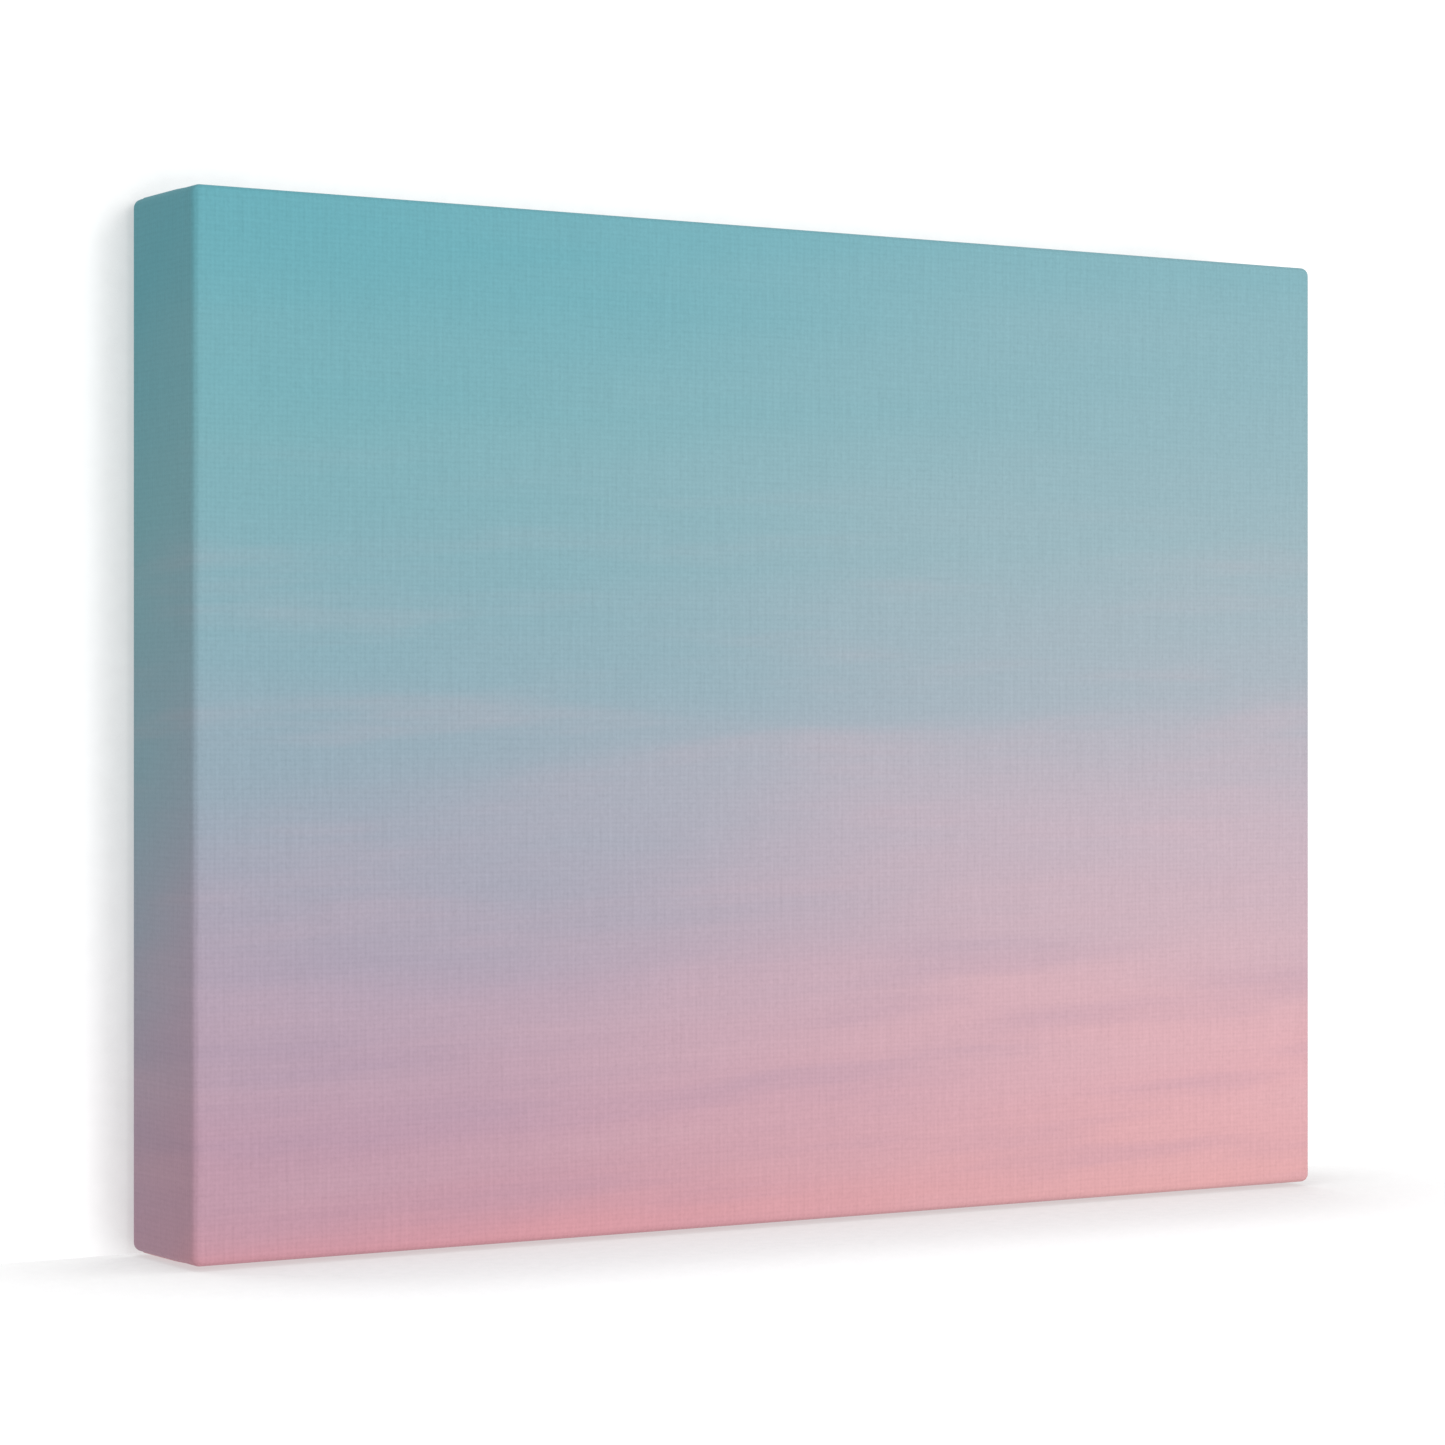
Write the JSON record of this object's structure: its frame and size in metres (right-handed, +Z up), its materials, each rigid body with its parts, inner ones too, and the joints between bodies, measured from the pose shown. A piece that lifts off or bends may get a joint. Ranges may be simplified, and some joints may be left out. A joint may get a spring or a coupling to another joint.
{
  "type": "stretched canvas",
  "caption": "Gallery-wrapped stretched canvas with a soft gradient sky print, on keyed wooden stretcher bars with a sawtooth hanger and wall bumpers.",
  "frame": {"origin": "under the middle of the bottom edge, half way through the whole depth, on the surface that the canvas stands on", "axes": "+X to the right seen from the front, +Y from the painted front to the back, +Z up"},
  "size_m": [0.3058, 0.0352, 0.2316],
  "materials": {
    "printed_canvas": "matt printed cotton canvas, plain weave",
    "pine": "planed, unfinished",
    "key_wood": "sawn hardwood, unfinished",
    "staple_wire": "galvanised wire",
    "hanger_plate": "brass-coloured zinc plate",
    "nail_steel": "bright drawn steel",
    "bumper_rubber": "matt black"
  },
  "bodies": {
    "stretched_frame": {"canvas_sheet": "printed_canvas", "stretcher_bar_top": "pine", "stretcher_bar_right": "pine", "stretcher_bar_bottom": "pine", "stretcher_bar_left": "pine", "staples_top": "staple_wire", "staples_right": "staple_wire", "staples_bottom": "staple_wire", "staples_left": "staple_wire", "sawtooth_hanger": "hanger_plate", "hanger_nails": "nail_steel", "wall_bumper_left": "bumper_rubber", "wall_bumper_right": "bumper_rubber"},
    "key_top_left_upright": {"key_top_left_upright": "key_wood"},
    "key_top_right_upright": {"key_top_right_upright": "key_wood"},
    "key_top_right_across": {"key_top_right_across": "key_wood"},
    "key_bottom_right_across": {"key_bottom_right_across": "key_wood"},
    "key_bottom_right_upright": {"key_bottom_right_upright": "key_wood"},
    "key_bottom_left_upright": {"key_bottom_left_upright": "key_wood"},
    "key_bottom_left_across": {"key_bottom_left_across": "key_wood"},
    "key_top_left_across": {"key_top_left_across": "key_wood"}
  },
  "joints": [
    {"name": "key_top_left_upright_slide", "type": "slide", "parent": "stretched_frame", "child": "key_top_left_upright", "axis": [0, 0, -1], "range_m": [0, 0.02]},
    {"name": "key_top_right_upright_slide", "type": "slide", "parent": "stretched_frame", "child": "key_top_right_upright", "axis": [0, 0, -1], "range_m": [0, 0.02]},
    {"name": "key_top_right_across_slide", "type": "slide", "parent": "stretched_frame", "child": "key_top_right_across", "axis": [-1, 0, 0], "range_m": [0, 0.02]},
    {"name": "key_bottom_right_across_slide", "type": "slide", "parent": "stretched_frame", "child": "key_bottom_right_across", "axis": [-1, 0, 0], "range_m": [0, 0.02]},
    {"name": "key_bottom_right_upright_slide", "type": "slide", "parent": "stretched_frame", "child": "key_bottom_right_upright", "axis": [0, 0, 1], "range_m": [0, 0.02]},
    {"name": "key_bottom_left_upright_slide", "type": "slide", "parent": "stretched_frame", "child": "key_bottom_left_upright", "axis": [0, 0, 1], "range_m": [0, 0.02]},
    {"name": "key_bottom_left_across_slide", "type": "slide", "parent": "stretched_frame", "child": "key_bottom_left_across", "axis": [1, 0, 0], "range_m": [0, 0.02]},
    {"name": "key_top_left_across_slide", "type": "slide", "parent": "stretched_frame", "child": "key_top_left_across", "axis": [1, 0, 0], "range_m": [0, 0.02]}
  ]
}
